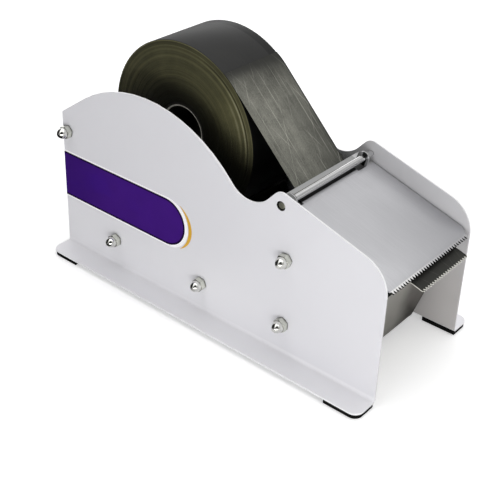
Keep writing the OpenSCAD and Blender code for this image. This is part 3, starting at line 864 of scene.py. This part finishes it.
def tape_roll():
    """The wound tape, turned from the profile of its lap groups."""
    low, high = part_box("tape_roll")
    outer = high.z - ROLL.z
    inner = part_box("tape_core")[1].z - ROLL.z
    right = lap_steps(inner, outer, low.y, 1)
    left = lap_steps(inner, outer, high.y, -1)
    profile = [(inner, low.y + ROLL_RIM)] + right
    profile += [(outer - 0.3 * ROLL_RIM, low.y + 0.3 * ROLL_RIM), (outer, low.y + ROLL_RIM)]
    profile += [(outer, high.y - ROLL_RIM), (outer - 0.3 * ROLL_RIM, high.y - 0.3 * ROLL_RIM)]
    profile += left[::-1] + [(inner, high.y - ROLL_RIM), (inner, low.y + ROLL_RIM)]
    obj = spun(drawn_line("wound_tape", round_profile(ROLL, profile)), ROLL, ROLL_STEPS)
    shade_smooth(obj, ROLL_SHARP)
    stands_for(obj, "tape_roll", FINISHES["tape"], WINDING)
    paint_faces(obj, 1, lambda face: off_axis(face, ROLL) < outer - ROLL_RIM)

    def spot(index):
        place = obj.data.vertices[index].co - ROLL
        return outer * math.atan2(place.x, place.z), place.y

    lay_uv(obj, spot)


def tape_core():
    """The core's tube, with a pale ring round its bore at both ends, which glows faintly as painted light."""
    low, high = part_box("tape_core")
    outer = high.z - ROLL.z - CORE_GAP
    inner = outer - CORE_WALL
    bevel = CORE_BEVEL
    ring = inner + CORE_RING
    y_low = low.y + CORE_SET_IN
    y_high = high.y - CORE_SET_IN
    profile = [
        (inner, y_low + bevel), (inner + bevel, y_low), (ring, y_low),
        (outer - bevel, y_low), (outer, y_low + bevel),
        (outer, y_high - bevel), (outer - bevel, y_high),
        (ring, y_high), (inner + bevel, y_high), (inner, y_high - bevel),
        (inner, y_low + bevel),
    ]
    obj = spun(drawn_line("core_tube", round_profile(ROLL, profile)), ROLL, CORE_STEPS)
    shade_smooth(obj, CORE_SHARP)
    stands_for(obj, "tape_core", FINISHES["core_board"], core_rim())
    paint_faces(obj, 1, lambda face: 0.2 < abs(face.normal.y) and off_axis(face, ROLL) < ring)


def on_circle(centre, radius, angle):
    """The x and z of a point on a circle round an axis along Y."""
    return centre.x + radius * math.cos(angle), centre.z + radius * math.sin(angle)


def strip_line():
    """The strip's middle line, as rows of x and z from the roll to the roots of its torn edge."""
    roll_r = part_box("tape_roll")[1].z - ROLL.z + RUN_GAP
    reach = HINGE - ROLL
    pull = math.asin((roll_r + HINGE_R + TAPE_T) / math.hypot(reach.x, reach.z))
    leave = math.atan2(reach.z, reach.x) - pull + TURN / 4
    tip_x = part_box("tape_strip")[1].x - PAPER_T / 2 * math.sin(SLOPE)
    roll_mid = roll_r + TAPE_T / 2
    hinge_mid = HINGE_R + TAPE_T / 2
    rows = []
    for i in range(WRAP_ROWS + 1):
        share = i / WRAP_ROWS
        lift = WRAP_LIFT * (1 - share) ** 2
        rows.append(on_circle(ROLL, roll_mid - lift, leave + WRAP * (1 - share)))
    start = rows[-1]
    bend_from = leave + TURN / 2
    bend_to = 3 * TURN / 4 - SLOPE
    end = on_circle(HINGE, hinge_mid, bend_from)
    for i in range(1, RUN_ROWS):
        share = i / RUN_ROWS
        rows.append(tuple(a + (b - a) * share for a, b in zip(start, end)))
    for i in range(BEND_ROWS + 1):
        rows.append(on_circle(HINGE, hinge_mid, bend_from + (bend_to - bend_from) * i / BEND_ROWS))
    start = rows[-1]
    root_x = tip_x - TEAR_H * math.cos(SLOPE)
    length = (root_x - start[0]) / math.cos(SLOPE)
    for i in range(1, OUT_ROWS + 1):
        along = length * i / OUT_ROWS
        rows.append((start[0] + along * math.cos(SLOPE), start[1] - along * math.sin(SLOPE)))
    return rows


def tape_strip():
    """The strip as a thin sheet along its line, with a torn edge of fine teeth."""
    low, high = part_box("tape_strip")
    line = strip_line()
    rows = len(line)
    columns = 2 * TEARS
    bpy.ops.object.select_all(action="DESELECT")
    bpy.ops.mesh.primitive_grid_add(
        x_subdivisions=rows - 1, y_subdivisions=columns, size=1, location=(0, 0, 0),
    )
    obj = started("tape_run")
    width = high.y - low.y
    travelled = [0]
    for here, ahead in zip(line, line[1:]):
        travelled.append(travelled[-1] + math.dist(here, ahead))
    spots = []
    for vertex in obj.data.vertices:
        row = round((vertex.co.x + 0.5) * (rows - 1))
        column = round((vertex.co.y + 0.5) * columns)
        tear = TEAR_H * (column % 2) if row == rows - 1 else 0
        y = low.y + width * column / columns
        vertex.co = (line[row][0] + tear * math.cos(SLOPE), y, line[row][1] - tear * math.sin(SLOPE))
        spots.append((travelled[row] + tear, y - ROLL.y))
    lay_uv(obj, lambda index: spots[index])
    apply_modifier(obj, "SOLIDIFY", thickness=PAPER_T, offset=0, material_offset_rim=1)
    shade_smooth(obj, ROLL_SHARP)
    leave = travelled[WRAP_ROWS]
    bend = travelled[WRAP_ROWS + RUN_ROWS]
    face = strip_face(leave, bend, travelled[-1], low.y - ROLL.y, width / TEARS)
    stands_for(obj, "tape_strip", face, PAPER_CUT)


# Dome nuts


def nut_solid():
    """One dome nut, standing on the origin and pointing along -Y."""
    corner = NUT_AF / math.sqrt(3)
    chamfer = (corner - NUT_AF / 2) / 2
    bpy.ops.object.select_all(action="DESELECT")
    bpy.ops.mesh.primitive_cylinder_add(
        vertices=6, radius=corner, depth=NUT_HEX_H,
        location=(0, -NUT_HEX_H / 2, 0), rotation=(TURN / 4, 0, 0),
    )
    nut = started("nut_solid")
    origin = Vector((0, 0, 0))

    def turned(name, profile, steps):
        return spun(drawn_line(name, round_profile(origin, profile)), origin, steps)

    blank = [
        (0, 0), (NUT_AF / 2, 0), (corner, -chamfer),
        (corner, -NUT_HEX_H + chamfer), (NUT_AF / 2, -NUT_HEX_H), (0, -NUT_HEX_H),
    ]
    cut_or_join(nut, turned("nut_chamfer", blank, NUT_STEPS), "INTERSECT")
    rise = NUT_H - NUT_HEX_H
    dome = [(0, -NUT_HEX_H / 2), (NUT_DOME_R, -NUT_HEX_H / 2)]
    for i in range(NUT_DOME_STEPS + 1):
        angle = TURN / 4 * i / NUT_DOME_STEPS
        dome.append((NUT_DOME_R * math.cos(angle), -NUT_HEX_H - rise * math.sin(angle)))
    cut_or_join(nut, turned("nut_dome", dome, NUT_STEPS), "UNION")
    bore = [(0, MM), (NUT_BORE_R, MM), (NUT_BORE_R, -NUT_BORE_H), (0, -NUT_BORE_H - MM)]
    cut_or_join(nut, turned("nut_bore", bore, NUT_BORE_STEPS), "DIFFERENCE")
    round_edges(nut, NUT_EDGE, NUT_SHARP)
    return nut


def dome_nuts():
    """Five nuts a side, each stopped at its own angle by the spanner."""
    nut = nut_solid()
    for side, way in (("right", 1), ("left", -1)):
        node = "dome_nuts_" + side
        low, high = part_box(node)
        face_y = high.y if way > 0 else low.y
        copies = []
        for i, rod in enumerate(TIES):
            rod_low, rod_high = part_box(rod)
            middle = (rod_low + rod_high) / 2
            copy = nut.copy()
            copy.data = nut.data.copy()
            bpy.context.collection.objects.link(copy)
            twist = Matrix.Rotation(math.radians(NUT_TWIST + NUT_TWIST_STEP * i), 4, "Y")
            face = Matrix.Rotation(0 if way > 0 else math.pi, 4, "Z")
            copy.data.transform(Matrix.Translation((middle.x, face_y, middle.z)) @ face @ twist)
            copies.append(copy)
        only(copies[0])
        for copy in copies[1:]:
            copy.select_set(True)
        bpy.ops.object.join()
        copies[0].name = "nuts_" + side
        stands_for(copies[0], node, FINISHES[slot_of[node]], NUT_FLATS_PAINTED_SHADE)
        # The hex flats take the darker nickel, which is painted shade.
        paint_faces(copies[0], 1, lambda face: abs(face.center.y - face_y) < NUT_HEX_H + NUT_EDGE)
    bpy.data.objects.remove(nut)


# Label


def film(name, radius, centre, rear_x, y_low, y_high):
    """A strip of film with a round front end, from the rear edge to the round end's centre."""
    bpy.ops.object.select_all(action="DESELECT")
    bpy.ops.mesh.primitive_circle_add(
        vertices=FILM_ARC_STEPS, radius=radius, fill_type="NGON",
        rotation=(TURN / 4, 0, 0), location=(centre.x, y_high, centre.z),
    )
    obj = started(name)
    edit_all(obj)
    bpy.ops.mesh.bisect(plane_co=centre, plane_no=(-1, 0, 0), clear_outer=True, use_fill=False)
    object_mode()
    for edge in obj.data.edges:
        edge.select = all(abs(obj.data.vertices[v].co.x - centre.x) < MERGE for v in edge.vertices)
    for vertex in obj.data.vertices:
        vertex.select = abs(vertex.co.x - centre.x) < MERGE
    bpy.ops.object.mode_set(mode="EDIT")
    bpy.ops.mesh.select_mode(type="EDGE")
    bpy.ops.mesh.extrude_region_move(TRANSFORM_OT_translate={"value": (rear_x - centre.x, 0, 0)})
    bpy.ops.mesh.select_all(action="SELECT")
    bpy.ops.mesh.extrude_region_move(TRANSFORM_OT_translate={"value": (0, y_low - y_high, 0)})
    bpy.ops.mesh.select_all(action="SELECT")
    bpy.ops.mesh.normals_make_consistent(inside=False)
    object_mode()
    return obj


def label():
    """The label: violet ink on a white film that stands out round its front end."""
    low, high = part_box("label_band")
    radius = (high.z - low.z) / 2
    centre = Vector((high.x - radius, 0, (high.z + low.z) / 2))
    middle = (low.y + high.y) / 2
    ahead = centre + Vector((FILM_AHEAD, 0, 0))
    white = film("label_border", radius + FILM_BORDER, ahead, low.x, middle, high.y)
    stands_for(white, "label_band", FILM_WHITE)
    ink = film("label_ink", radius, centre, low.x, low.y, middle)
    stands_for(ink, "label_band", label_ink(centre, radius))


# Cut edges, with painted highlights and shade


def cut_edges():
    """Painted highlights on the plates' edges, painted shade under the flanges' edges and in the hinge's
    countersinks, and dull ends on its rod.
    """
    painted_hole_shade = drawn_steel("countersink_painted_shade", (0.012, 0.012, 0.010), 0.5)
    cut = drawn_steel("rod_end_steel", (0.36, 0.36, 0.29), 0.45)
    rim = print_film("coat_edge_painted_highlight", (0.92, 0.92, 0.94), (0.97, 0.97, 0.98))
    painted_edge_shading = print_film("coat_hem_painted_shade", (0.30, 0.30, 0.31), (0.36, 0.36, 0.37))
    outside = PLATE_OUT - MM
    brim = outside + FLANGE_EDGE_OUT
    for node in ("right_plate", "left_plate"):
        plate = bpy.data.objects["soft_" + node]
        for finish in (painted_hole_shade, rim, painted_edge_shading):
            plate.data.materials.append(finish)
        # Painted highlight on the plates' cut edges and the flanges' upper edges.
        paint_faces(plate, 2, lambda face: abs(face.normal.y) < 0.8 and face.center.z > PLATE_EDGE_FROM)
        paint_faces(plate, 2, lambda face: abs(face.center.y) > brim and -0.3 < face.normal.z < 0.95)
        # Painted shade on the flanges' lower edges.
        paint_faces(plate, 3, lambda face: abs(face.center.y) > brim and -0.95 < face.normal.z < -0.3)
        # Painted shade, near black, in the countersinks round the hinge.
        paint_faces(
            plate, 1,
            lambda face: off_axis(face, HINGE) < COUNTERSINK_REACH and abs(face.center.y) > outside,
        )
    rod = bpy.data.objects["soft_hinge_rod"]
    rod.data.materials.append(cut)
    paint_faces(rod, 1, lambda face: abs(face.normal.y) > 0.5)


def tooth_flanks():
    """Painted shade, near black, on the flanks between the cutter's teeth."""
    cutter = bpy.data.objects["soft_cutter_plate"]
    cutter.data.materials.append(drawn_steel("tooth_flank_painted_shade", (0.015, 0.015, 0.013), 0.5))
    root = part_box("cutter_plate")[1].x - TOOTH_DEPTH
    paint_faces(
        cutter, 1,
        lambda face: face.center.x > root and face.center.z < HINGE.z and abs(face.normal.y) > 0.3,
    )


# The object
for node, edge in EDGES.items():
    softened(node, edge * MM)
cut_edges()
tooth_flanks()
tape_roll()
tape_core()
tape_strip()
dome_nuts()
label()
for node in TIES + ["label_accent"]:
    frame["nodes"][node].data.materials.clear()
    frame["nodes"][node].data.materials.append(FINISHES[slot_of[node]])


# Studio: floor, light and camera


def camera_rays(shader):
    """1 on rays from the camera, 0 on the rays that light the object."""
    return shader.node("ShaderNodeLightPath", output="Is Camera Ray")


def floor():
    """A white floor that is dark on the left in reflections.

    For the camera it is lifted, so that only near shadows show.
    """
    bpy.ops.object.select_all(action="DESELECT")
    bpy.ops.mesh.primitive_plane_add(size=FLOOR_SIZE, location=(0, 0, -FLOOR_DROP))
    obj = started("floor")
    f = Finish("floor_white")
    aside = f.axes(f.place())[0]
    mirrored = f.node("ShaderNodeLightPath", output="Is Glossy Ray")
    tone = f.mix(mirrored * (1 - f.band(aside, *FLOOR_FADE)), FLOOR_TONE, FLOOR_DARK)
    lit = f.node("ShaderNodeBsdfDiffuse", {}, {"Color": tone})
    strength = FLOOR_LIFT * camera_rays(f)
    lift = f.node("ShaderNodeEmission", {}, {"Color": (1, 1, 1), "Strength": strength})
    both = f.node("ShaderNodeAddShader", {}, {0: lit, 1: lift})
    f.node("ShaderNodeOutputMaterial", {}, {"Surface": both})
    obj.data.materials.append(f.material)


def within(shader, facing, angles):
    """1 where the cosine facing is inside the first angle, fading to 0 at the second."""
    inner, outer = (math.cos(math.radians(angle)) for angle in angles)
    return shader.band(facing, outer, inner)


def patch(shader, way, toward, angles):
    """1 in a round patch of the sky, which fades between two angles from its middle."""
    facing = shader.node(
        "ShaderNodeVectorMath", {"operation": "DOT_PRODUCT"},
        {0: way, 1: Vector(toward).normalized()}, "Value",
    )
    return within(shader, facing, angles)


def upright_bar(shader, way, toward, angles):
    """1 in an upright bar of the sky, which fades between two angles round the vertical."""
    x, y, z = shader.axes(way)
    side = Vector(toward[:2]).normalized()
    # A little over 1, so that nothing is divided by 0 straight up
    facing = (x * side.x + y * side.y) / shader.math("SQRT", 1.001 - z * z)
    return within(shader, facing, angles) * (1 - shader.band(z, *BAR_TOP))


def studio_world():
    """A pale room, bright overhead and behind, and dark on the left and behind the camera."""
    world = bpy.data.worlds.new("studio")
    bpy.context.scene.world = world
    w = Shader(world)
    way = w.node("ShaderNodeTexCoord", output="Generated")
    height = w.axes(way)[2]
    bar = upright_bar(w, way, CAMERA_AT, CAMERA_BAR)
    dark = w.math("MAXIMUM", bar, patch(w, way, LEFT_WAY, LEFT_PATCH))
    room = (SKY_LOW + (SKY_HIGH - SKY_LOW) * w.band(height, *SKY_RISE)) * (1 - SKY_DARK * dark)
    room = room + BACKDROP * patch(w, way, BACKDROP_WAY, BACKDROP_PATCH)
    direct = camera_rays(w)
    strength = direct + (1 - direct) * room
    sky = w.node("ShaderNodeBackground", {}, {"Color": (1, 1, 1), "Strength": strength})
    w.node("ShaderNodeOutputWorld", {}, {"Surface": sky})


def soft_lamp(name, place, target, size, power):
    """A rectangular lamp that points at a target."""
    data = bpy.data.lights.new(name, "AREA")
    data.shape = "RECTANGLE"
    data.size, data.size_y = size
    data.energy = power
    lamp = bpy.data.objects.new(name, data)
    lamp.location = place
    lamp.rotation_euler = (Vector(target) - Vector(place)).to_track_quat("-Z", "Y").to_euler()
    bpy.context.collection.objects.link(lamp)


def camera():
    """The camera, at the photograph's viewpoint."""
    data = bpy.data.cameras.new("camera")
    data.lens = CAMERA_LENS
    data.shift_x, data.shift_y = CAMERA_SHIFT
    obj = bpy.data.objects.new("camera", data)
    obj.location = CAMERA_AT
    obj.rotation_euler = [math.radians(angle) for angle in CAMERA_TURN]
    bpy.context.collection.objects.link(obj)
    bpy.context.scene.camera = obj


floor()
studio_world()
soft_lamp("key", KEY_AT, KEY_TARGET, KEY_SIZE, KEY_POWER)
camera()
bpy.context.scene.view_settings.view_transform = "Standard"
